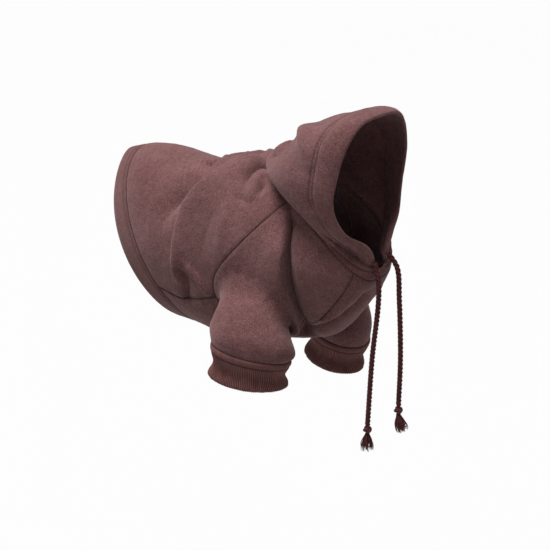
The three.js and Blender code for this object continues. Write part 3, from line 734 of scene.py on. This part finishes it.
wrinkle = {
    "height": 0.9,
    "size": 26,
    "fine": 0.28,
    "fineSize": 7,
    "fade": 6,  # how near a band wrinkles fade out
    "puckerSize": 3.5,
    "puckerReach": 6,  # how far from a seam its puckers go
}


def ripple(points, size, seed):
    return np.array([noise.noise(Vector(point) / size + Vector((seed, 0, 0))) for point in points])


def addRelief(cloth):
    normals = cloth.normals()
    soft = cloth.hold(lambda piece: isTrunk(piece) or isHood(piece)) * smoothStep(bandApart / wrinkle["fade"])
    height = soft * wrinkle["height"] * ripple(cloth.points * [1, 1, 0.6], wrinkle["size"], 3)
    height += soft * wrinkle["fine"] * ripple(cloth.points, wrinkle["fineSize"], 11)
    beside = np.exp(-(seamApart / wrinkle["puckerReach"]) ** 2) * (1 - np.exp(-(seamApart / 1.2) ** 2))
    height += body["pucker"] * 2 * beside * ripple(seamPlace, wrinkle["puckerSize"], 23)
    height -= body["seamSink"] * np.exp(-(seamApart / body["seamReach"]) ** 2)
    cloth.points += normals * height[:, None]


addRelief(cloth)
print("wrinkles and seams added")


# Pieces

def makePiece(name, points, faces, material, slot, nodes=(), shadeAndBandTone=None):
    mesh = bpy.data.meshes.new(name)
    mesh.from_pydata(toFrame(points).tolist(), [], faces)
    mesh.polygons.foreach_set("use_smooth", np.ones(len(mesh.polygons), dtype=bool))
    mesh.materials.append(material)
    if shadeAndBandTone is not None:
        mesh.attributes.new("shadeAndBandTone", "FLOAT", "POINT").data.foreach_set("value", shadeAndBandTone)
    mesh.update()
    piece = bpy.data.objects.new(name, mesh)
    scene.collection.objects.link(piece)
    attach(piece, "root")
    if nodes:
        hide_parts(*nodes)
    return piece


rimTurns = [math.pi / 4, math.pi / 2, math.pi * 3 / 4]  # the rings of points round a free rim


def wall(points, normals, faces, thick, isFree, shadeAndBandTone):
    # A closed wall round a sheet: its two faces, round free rims, and flat rims where it is sewn on.
    used, local = np.unique(faces, return_inverse=True)
    local = local.reshape(-1, 4)
    base, up, half, free = points[used].copy(), normals[used], thick[used][:, None] / 2, isFree[used]
    rims = rimsOf(local)
    outward = np.zeros_like(base)
    along = unit(base[rims[:, 1]] - base[rims[:, 0]])
    for ends in rims.T:
        np.add.at(outward, ends, np.cross(along, up[ends]))
    outward = unit(outward)
    sewn = np.zeros(len(base), dtype=bool)
    sewn[rims.ravel()] = True
    sewn &= ~free
    base[sewn] -= outward[sewn] * body["sewnGap"]
    count = len(base)
    parts = [base + up * half, base - up * half]
    quads = [local, local[:, ::-1] + count]
    order = np.full(count, -1)
    edge = np.flatnonzero(free)
    order[edge] = np.arange(len(edge))
    for turn in rimTurns:
        parts.append(base[edge] + up[edge] * half[edge] * math.cos(turn) + outward[edge] * half[edge] * math.sin(turn))
    isRound = free[rims].all(1)
    a, b = rims[~isRound].T
    quads.append(np.stack([b, a, a + count, b + count], 1))
    a, b = rims[isRound].T
    starts = [2 * count + k * len(edge) for k in range(len(rimTurns))]
    rows = [(a, b), *[(order[a] + start, order[b] + start) for start in starts], (a + count, b + count)]
    for (a0, b0), (a1, b1) in zip(rows, rows[1:]):
        quads.append(np.stack([b0, a0, a1, b1], 1))
    points = np.vstack(parts)
    # The painted shade in seams and grooves goes on the sheet's outer face only.
    dark = np.zeros(len(points))
    dark[:count] = shadeAndBandTone[used]
    return points, np.vstack(quads).tolist(), dark


def arcs(grid, fromEnd=False):
    # How far each point of a grid is along its column, from the first or the last row.
    steps = np.linalg.norm(np.diff(grid, axis=0), axis=2)
    if fromEnd:
        return np.vstack([np.cumsum(steps[::-1], 0)[::-1], np.zeros(grid.shape[1])])
    return np.vstack([np.zeros(grid.shape[1]), np.cumsum(steps, 0)])


def lineAcross(grid, ups, apart, at):
    # The places of a grid's columns that are this far along them, with their normals.
    at = np.broadcast_to(at, apart.shape[1])
    found = []
    for values in (grid, ups):
        found.append(np.array([
            [np.interp(at[j], *sortedPair(apart[:, j], values[:, j, k])) for k in range(3)] for j in range(len(at))
        ]))
    return found[0], unit(found[1])


def sortedPair(keys, values):
    order = np.argsort(keys)
    return keys[order], values[order]


def tubes(paths, radii, sides, ups, capped=True):
    # Round tubes along several paths with the same number of points.
    paths = np.asarray(paths, dtype=float)
    count, rings = paths.shape[:2]
    along = unit(np.gradient(paths, axis=1))
    beside = unit(np.cross(along, np.broadcast_to(ups, paths.shape)))
    over = np.cross(beside, along)
    turn = np.arange(sides) / sides * 2 * math.pi
    radii = np.broadcast_to(radii, (count, rings))[..., None, None]
    ring = beside[:, :, None] * np.cos(turn)[:, None] + over[:, :, None] * np.sin(turn)[:, None]
    points = (paths[:, :, None] + ring * radii).reshape(-1, 3)
    ids = np.arange(count * rings * sides).reshape(count, rings, sides)
    here, there = ids[:, :-1], ids[:, 1:]
    quads = np.stack([there, np.roll(there, -1, 2), np.roll(here, -1, 2), here], -1).reshape(-1, 4).tolist()
    if capped:
        quads += ids[:, 0].tolist() + ids[:, -1, ::-1].tolist()
    return points, quads


def joined(parts):
    points, faces, start = [], [], 0
    for some, found in parts:
        points.append(some)
        faces += [[i + start for i in face] for face in found]
        start += len(some)
    return np.vstack(points), faces


stitch = {
    "length": 2.5,
    "gap": 1.0,
    "radius": 0.24,
    "lift": 0.16,
    "along": np.array([0, 0.18, 0.5, 0.82, 1]),
    "rise": np.array([-2.2, 0.6, 1, 0.6, -2.2]),  # its ends dip into the cloth
    "wide": np.array([0.6, 1, 1.05, 1, 0.6]),
}


def stitches(line, ups, closed=False):
    if closed:
        line, ups = np.vstack([line, line[:1]]), np.vstack([ups, ups[:1]])
    steps = np.append(0, np.cumsum(np.linalg.norm(np.diff(line, axis=0), axis=1)))
    pitch = stitch["length"] + stitch["gap"]
    starts = np.arange(0.5, steps[-1] - pitch, pitch)
    at = starts[:, None] + stitch["length"] * stitch["along"]
    centre = np.stack([np.interp(at, steps, line[:, k]) for k in range(3)], -1)
    up = unit(np.stack([np.interp(at, steps, ups[:, k]) for k in range(3)], -1))
    lift = stitch["lift"] * stitch["rise"]
    return tubes(centre + up * lift[:, None], stitch["radius"] * stitch["wide"], 5, up)


# Finishes. The cloths' fine structure is in the shaders, their folds and seams in the meshes.

colours = {  # middle, nap, dark speckle; the rib's dark is also its painted shade between the ribs
    "fleece": (shade(72, 42, 42), shade(113, 83, 83), shade(42, 18, 19)),
    "band": (shade(69, 39, 39), shade(103, 73, 72), shade(42, 18, 19)),
    "rib": (shade(96, 60, 57), shade(128, 92, 87), shade(42, 19, 18)),
    "cord": (shade(62, 20, 22), shade(92, 40, 40), shade(24, 6, 8)),
    "thread": (shade(66, 38, 38), shade(90, 60, 60), shade(44, 22, 24)),
    # Painted shade: the near-black brown that seams and stitch grooves are darkened towards.
    "seam": shade(34, 15, 16),
    "sheen": shade(150, 128, 128),
}


def fleeceFinish(name, paint, nap):
    middle, light, dark = paint
    s = Shader(name)
    broad = s.speckle(28, 3, 0.55)
    patch = s.speckle(150, 4, 0.6)
    fuzz = s.speckle(560, 4, 0.75)
    grain = s.speckle(1150, 3, 0.6)
    tone = s.blend(s.ramp(broad, [(0.3, 0), (0.7, 1)]), tint(middle, dark, 0.16), tint(middle, light, 0.2))
    tone = s.blend(s.ramp(patch, [(0.42, 0), (0.62, 0.14)]), tone, light)
    tone = s.blend(s.ramp(fuzz, [(0.36, 0.6), (0.5, 0)]), tone, dark)
    tone = s.blend(s.ramp(grain, [(0.52, 0), (0.66, 0.6)]), tone, light)
    # Painted shade: the seams and stitch grooves are darkened towards a near-black brown.
    tone = s.blend(0.85 * s.shadeAndBandTone(), tone, colours["seam"])
    height = fuzz * 0.7 + grain * 0.3
    return s.finish({
        "Base Color": tone,
        "Roughness": 0.86 + 0.1 * patch,
        "Specular IOR Level": 0.18,
        "Sheen Weight": 0.36,
        "Sheen Roughness": 0.45,
        "Sheen Tint": colours["sheen"],
        "Normal": s.bump(height, 0.6, nap, s.bump(patch, 0.4, 0.0014)),
    })


def ribFinish(name, paint):
    middle, light, dark = paint
    s = Shader(name)
    yarn = s.speckle(1500, 3, 0.6)
    patch = s.speckle(90, 3, 0.6)
    tone = s.blend(s.ramp(patch, [(0.35, 0), (0.7, 0.5)]), middle, light)
    tone = s.blend(s.ramp(yarn, [(0.35, 0.5), (0.55, 0)]), tone, dark)
    # Painted shade between the ribs and in the cuff's grooves; the smooth band above the ribs is given a darker tone as
    # well.
    tone = s.blend(0.9 * s.shadeAndBandTone(), tone, dark)
    return s.finish({
        "Base Color": tone,
        "Roughness": 0.82 + 0.12 * patch,
        "Specular IOR Level": 0.2,
        "Sheen Weight": 0.2,
        "Sheen Roughness": 0.45,
        "Sheen Tint": light,
        "Normal": s.bump(yarn, 0.5, 0.0005),
    })


def cordFinish(name, paint):
    middle, light, dark = paint
    s = Shader(name)
    fibre = s.speckle(1900, 4, 0.7)
    patch = s.speckle(160, 3, 0.6)
    tone = s.blend(s.ramp(patch, [(0.35, 0), (0.7, 1)]), middle, tint(middle, light, 0.4))
    tone = s.blend(s.ramp(fibre, [(0.35, 0.8), (0.55, 0)]), tone, dark)
    return s.finish({
        "Base Color": tone,
        "Roughness": 0.7 + 0.15 * patch,
        "Specular IOR Level": 0.25,
        "Sheen Weight": 0.04,
        "Sheen Roughness": 0.4,
        "Sheen Tint": light,
        "Normal": s.bump(fibre, 0.5, 0.0004),
    })


fleece = fleeceFinish("fleece", colours["fleece"], 0.0013)
bandFleece = fleeceFinish("band fleece", colours["band"], 0.001)
ribKnit = ribFinish("rib knit", colours["rib"])
cordYarn = cordFinish("cord yarn", colours["cord"])
thread = cordFinish("thread", colours["thread"])
print("finishes made")


# The cords

cord = {
    "diameter": 5,
    "strands": 3,
    "twist": 13,  # one turn of a strand
    "strandOut": 0.56,  # these four are shares of the cord's radius
    "strandSize": 0.43,
    "yarnOut": 0.36,
    "yarnSize": 0.2,
    "yarns": 5,  # in each strand
    "yarnTwist": 3.4,
    "step": 0.75,
    "knot": 9,
    "gap": 0.6,
    "tassel": 19,
    "tasselWidth": 13,
    "threads": 46,
    # Each route, with its tassel's lean in degrees and its threads' seed.
    "routes": {
        "right": ([(134.5, -11, -69), (140, -12, -84), (141, -12, -106), (136, -12, -165), (133, -12, -238)], 0, 7),
        "left": ([(134.3, 11, -66), (144, 12, -78), (148, 12, -110), (152, 12, -170), (152, 12, -220)], 16, 8),
    },
}


def wound(line, beside, over, turns, out):
    turn = turns * 2 * math.pi
    return line + beside * (np.cos(turn) * out)[:, None] + over * (np.sin(turn) * out)[:, None]


def makeKnot(name, centre):
    # The cord's end, wound twice round itself.
    r = cord["knot"] / 2
    t = np.linspace(0, 2 * math.pi, 120, endpoint=False)
    swing = 2.1 + np.cos(3 * t)
    loop = np.stack([swing * np.cos(2 * t), swing * np.sin(2 * t), 1.5 * np.sin(3 * t)], 1) * 0.92
    coil = tubes([np.vstack([loop, loop[:1]])], 1.75, 12, np.array([0.1, 0.2, 1]), False)
    stem = [(0, 0, r + 0.9), (0, 0, 2), (0, 0, -2), (0, 0, -r - 0.6)]
    points, faces = joined([coil, tubes([stem], [1.9, 2.0, 2.0, 1.7], 12, np.array([0, 1, 0]))])
    return makePiece(f"{name}_knot_coil", points + centre, faces, cordYarn, "cord_yarn", [f"{name}_knot"])


def makeTassel(name, top, lean, random):
    # The strands' frayed ends.
    count, steps = cord["threads"], 14
    share = np.linspace(0, 1, steps)
    angle = np.arange(count) * 2.39996  # the golden angle
    spread = np.sqrt((np.arange(count) + 0.5) / count)
    wave = random.normal(0, 1, (count, 4))
    reach = cord["tassel"] * (0.82 + 0.18 * random.random(count))
    wide = cord["tasselWidth"] / 2 * spread
    flare = 0.28 + 0.72 * np.sin(share * math.pi * 0.62) ** 1.3
    out = wide[:, None] * flare + 0.5 * wave[:, :1] * share * np.sin(share * 6 + wave[:, 1:2] * 2)
    swirl = angle[:, None] + 0.25 * wave[:, 2:3] * share + 0.5 * share
    ahead, beside = out * np.cos(swirl), out * np.sin(swirl)
    rise = -reach[:, None] * share + 0.6 * wave[:, 3:4] * share * (1 - share)
    tilt = math.radians(lean)
    threads = np.stack([
        ahead * math.cos(tilt) - rise * math.sin(tilt),
        beside,
        ahead * math.sin(tilt) + rise * math.cos(tilt),
    ], -1)
    thin = 0.42 * np.array([1.0] * (steps - 4) + [0.95, 0.85, 0.7, 0.4])
    points, faces = tubes(threads + top, thin, 5, np.array([0.3, 0.2, 0.1]))
    return makePiece(f"{name}_tassel_threads", points, faces, cordYarn, "cord_yarn", [f"{name}_tassel"])


def makeCord(name):
    route, lean, seed = cord["routes"][name]
    line = through(route, cord["step"], 40)
    radius = cord["diameter"] / 2
    along = unit(np.gradient(line, axis=0))
    beside = unit(np.cross(along, [0, 1, 0]))
    over = np.cross(beside, along)
    far = np.arange(len(line)) * cord["step"]
    strands, yarns = [], []
    for k in range(cord["strands"]):
        turns = far / cord["twist"] + k / cord["strands"]
        strand = wound(line, beside, over, turns, radius * cord["strandOut"])
        out = unit(strand - line)
        side = np.cross(unit(np.gradient(strand, axis=0)), out)
        for j in range(cord["yarns"]):
            turns = far / cord["yarnTwist"] + j / cord["yarns"]
            yarns.append(wound(strand, out, side, turns, radius * cord["yarnOut"]))
        strands.append(strand)
    plait = tubes(yarns, radius * cord["yarnSize"], 5, np.array([0.2, 1, 0.1]))
    core = tubes(strands, radius * cord["strandSize"], 7, np.array([0, 1, 0]))
    made = makePiece(f"{name}_cord", *joined([core, plait]), cordYarn, "cord_yarn", [f"{name}_drawstring"])
    r = cord["knot"] / 2
    centre = line[-1] - [0, 0, r + cord["gap"]]
    knot = makeKnot(name, centre)
    tassel = makeTassel(name, centre - [0, 0, r + cord["gap"] - 1.2], lean, np.random.default_rng(seed))
    tuple(toFrame(line[0]))
    [tuple(p) for p in toFrame(line[::8])]


for name in cord["routes"]:
    makeCord(name)
print("cords made")


# The hood's casing and the hem band are folded double, so they are thicker and end in rows of stitches.

band = {"thick": 4.2, "line": 5.5, "stitch": 1.6}
casingRows = (0, 4)  # how far the hood's two rows of stitches are from its casing
# How dark the painted shade in the casing's and hem band's stitch grooves is.
seamDark = 0.7


def profile(far, wide):
    # How full a folded band is, from its free edge to its seam.
    x = np.clip(far / wide, 0, 1)
    return np.clip(1 - x**5, 0, 1) * np.clip(0.55 + 0.45 * np.minimum(far / 4, 1), 0, 1)


def groove(far, at, wide=1.0, deep=0.6):
    return deep * np.exp(-((far - at) / wide) ** 2)


isFree = np.zeros(len(cloth.points), dtype=bool)
isFree[cloth.rims.ravel()] = True
normals = cloth.normals()
stitchLines = []

hoodGrid, hoodAngles = cloth.gridOf("hood")
edgeApart = arcs(cloth.points[hoodGrid], True)
casing = mix(hood["casing"], hood["casingLow"], smoothStep(np.abs(hoodAngles) / 165))
cloth.thick[hoodGrid] = body["cloth"] + (hood["edge"] - body["cloth"]) * profile(edgeApart, casing)
cloth.points[hoodGrid] += normals[hoodGrid] * (
    hood["casingPuff"] * np.sin(np.clip(edgeApart / casing, 0, 1) * math.pi) ** 0.7
    - sum(groove(edgeApart, casing + extra) for extra in casingRows)
)[..., None]
for extra in casingRows:
    stitchLines.append(("hood", hoodGrid, edgeApart, casing + extra, False))

bandGrid, _ = cloth.gridOf("hem_band")
bandGrid = bandGrid[:, :-1]
freeApart = arcs(cloth.points[bandGrid])
wideBand = freeApart[-1]
cloth.thick[bandGrid] = body["cloth"] + (band["thick"] - body["cloth"]) * profile(freeApart, wideBand)
cloth.points[bandGrid] -= normals[bandGrid] * groove(freeApart, wideBand - band["line"])[..., None]
for row in ("line", "stitch"):
    stitchLines.append(("hem_band", bandGrid, freeApart, wideBand - band[row], True))
# Painted shade: darker in the seams' grooves and in the stitch grooves of the hood's casing and the hem band.
shadeAndBandTone = np.exp(-(seamApart / 1.0) ** 2)
shadeAndBandTone[hoodGrid] += seamDark * np.minimum(sum(groove(edgeApart, casing + extra, 0.9, 1) for extra in casingRows), 1)
shadeAndBandTone[bandGrid] += seamDark * groove(freeApart, wideBand - band["line"], 0.9, 1)
print("bands thickened")

normals = cloth.normals()
sheets = {}
for name in pieceNames:
    if "cuff" in name:
        continue
    faces = cloth.facesOf(lambda piece: piece == name)
    points, quads, dark = wall(cloth.points, normals, faces, cloth.thick, isFree, shadeAndBandTone)
    finish = bandFleece if name in ("hem_band", "neck_tape") else fleece
    sheets[name] = makePiece(f"{name}_cloth", points, quads, finish, "fleece", [name], dark)
print("sheets made")

rows = {name: [] for name in pieceNames}
for name, grid, apart, at, closed in stitchLines:
    line, ups = lineAcross(cloth.points[grid], normals[grid], apart, at)
    points, faces = stitches(line + ups * cloth.thick[grid].min() / 2, ups, closed)
    rows[name].append(makePiece(f"{name}_stitches_{len(rows[name]) + 1}", points, faces, thread, "fleece"))
print("stitches made")


def alongClosed(line, count):
    # A closed line's points at even steps, on a smooth curve.
    p0, p1, p2, p3 = (np.roll(line, k, 0) for k in (1, 0, -1, -2))
    t = np.linspace(0, 1, 10, endpoint=False)[:, None, None]
    fine = hermite(p1, (p2 - p0) / 2, p2, (p3 - p1) / 2, t).transpose(1, 0, 2).reshape(-1, 3)
    fine = np.vstack([fine, fine[:1]])
    steps = np.append(0, np.cumsum(np.linalg.norm(np.diff(fine, axis=0), axis=1)))
    at = np.arange(count) / count * steps[-1]
    return np.stack([np.interp(at, steps, fine[:, k]) for k in range(3)], 1)


def makeCuff(name):
    grid, _ = cloth.gridOf(f"{name}_cuff")
    grid = grid[:, :-1]
    side = cuff["sides"][name][0]
    count = cuff["ribs"] * cuff["perRib"]
    base = np.array([alongClosed(row, count) for row in cloth.points[grid]])
    apart = arcs(base)
    far = np.array(cuff["rings"]) / cuff["band"]
    column = np.arange(count)
    rows = []
    for share in far:
        at = share * apart[-1]
        index = np.clip((apart <= at).sum(0) - 1, 0, len(apart) - 2)
        t = ((at - apart[index, column]) / (apart[index + 1, column] - apart[index, column]))[:, None]
        rows.append(mix(base[index, column], base[index + 1, column], t))
    rows = np.array(rows)
    across = np.gradient(rows, axis=0)
    around = np.roll(rows, -1, 1) - np.roll(rows, 1, 1)
    ups = unit(np.cross(around, across)) * side
    middle = rows.mean((0, 1))
    if ((rows - middle) * ups).sum() < 0:
        ups = -ups
    down = far[:, None] * cuff["band"]
    hem = cuff["hem"]
    inBand = np.clip(1 - np.abs(2 * down / hem - 1) ** 4, 0, 1) * cuff["hemPuff"]
    below = np.clip((down - hem) / (cuff["band"] - hem), 0, 1)
    shape = -cuff["waist"] * np.sin(math.pi * below) ** 2 + cuff["flare"] * below**3
    wobble = np.array([noise.noise(Vector((k / cuff["perRib"] * 0.31, side * 5.0, 0.5))) for k in range(count)])
    rib = (0.5 + 0.5 * np.cos(column / cuff["perRib"] * 2 * math.pi)) ** 0.8 * (1 + 0.25 * wobble)
    ribShare = smoothStep((down - hem - 0.3) / 1.6)
    crest = cuff["ribDepth"] * (rib - 1) * ribShare
    edge = groove(down, 0, 0.9, 0.7) + groove(down, hem, 0.8, 0.7)
    centre = rows + ups * (shape + 0.5 * wobble * below)[..., None]
    half = cuff["cloth"] / 2
    outer = centre + ups * (half + inBand + crest - edge)[..., None]
    inner = centre - ups * (half - 0.3 * crest)[..., None]
    out = unit(centre[-1] - centre[-2])
    rim = []
    for turn in rimTurns:
        between = (outer[-1] + inner[-1]) / 2
        reach = (outer[-1] - inner[-1]) / 2
        rim.append(between + reach * math.cos(turn) + out * np.linalg.norm(reach, axis=1)[:, None] * math.sin(turn))
    rings = np.concatenate([outer, rim, inner[::-1]])
    # Painted shade between the ribs and in the grooves at the seam and below the smooth band; the smooth band above the
    # ribs is given a darker tone as well.
    dark = np.zeros(rings.shape[:2])
    dark[:len(outer)] = -crest / cuff["ribDepth"] + edge + 0.5 * (1 - ribShare)
    ids = np.arange(len(rings) * count).reshape(len(rings), count)
    here, there = ids, np.roll(ids, -1, 0)
    quads = np.stack([here, there, np.roll(there, -1, 1), np.roll(here, -1, 1)], -1).reshape(-1, 4)
    first = np.cross(rings[1, 0] - rings[0, 0], rings[0, 1] - rings[0, 0])
    if (first * ups[0, 0]).sum() < 0:
        quads = quads[:, ::-1]
    points, faces = rings.reshape(-1, 3), quads.tolist()
    made = makePiece(f"{name}_cuff_rib", points, faces, ribKnit, "rib_knit", [f"{name}_cuff"], dark.ravel())
    points, faces = stitches(outer[cuff["stitchRing"]], ups[cuff["stitchRing"]], True)
    return made, [makePiece(f"{name}_cuff_stitches", points, faces, thread, "rib_knit")]


for name in cuff["sides"]:
    sheets[f"{name}_cuff"], rows[f"{name}_cuff"] = makeCuff(name)
print("cuffs made")


for name, piece in sheets.items():
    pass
print("sheets declared:", len(sheets))


# Light and floor

studio = {
    "floor": -0.9,
    "floorSize": 90,  # each way, so that its edge stays out of low views
    "paint": 0.33,
    "sun": 8.2,
    "azimuth": -38,
    "elevation": 77,
    "softness": 30,
    "sky": [(0, 1.15), (0.12, 1.05), (0.3, 0.25), (1, 0.7)],  # pale at the horizon, dim above it
    "skyStrength": 0.8,
}
sunData = bpy.data.lights.new("soft box", "SUN")
sunData.energy = studio["sun"]
sunData.angle = math.radians(studio["softness"])
sun = bpy.data.objects.new("soft box", sunData)
az, el = math.radians(studio["azimuth"]), math.radians(studio["elevation"])
sunWay = Vector((math.sin(az) * math.cos(el), -math.cos(az) * math.cos(el), math.sin(el)))
sun.rotation_euler = sunWay.to_track_quat("Z", "Y").to_euler()
scene.collection.objects.link(sun)
sky = Shader("studio", bpy.data.worlds)
up = sky.node("ShaderNodeSeparateXYZ", {}, {"Vector": sky.place("Generated")}, "Z")
values = {"Color": sky.ramp(up, studio["sky"]), "Strength": studio["skyStrength"]}
glow = sky.node("ShaderNodeBackground", {}, values)
sky.node("ShaderNodeOutputWorld", {}, {"Surface": glow})
scene.world = sky.material
scene.view_settings.view_transform = "Standard"

floorSheet = Shader("floor")
floorPaint = floorSheet.finish({
    "Base Color": (*[studio["paint"]] * 3, 1),
    "Roughness": 0.9,
    "Specular IOR Level": 0.1,
})
floorMesh = bpy.data.meshes.new("floor")
wide, low = studio["floorSize"], studio["floor"]
corners = [(-wide, -wide, low), (wide, -wide, low), (wide, wide, low), (-wide, wide, low)]
floorMesh.from_pydata(corners, [], [(0, 1, 2, 3)])
floorMesh.materials.append(floorPaint)
floor = bpy.data.objects.new("floor", floorMesh)
scene.collection.objects.link(floor)
print("light and floor made")
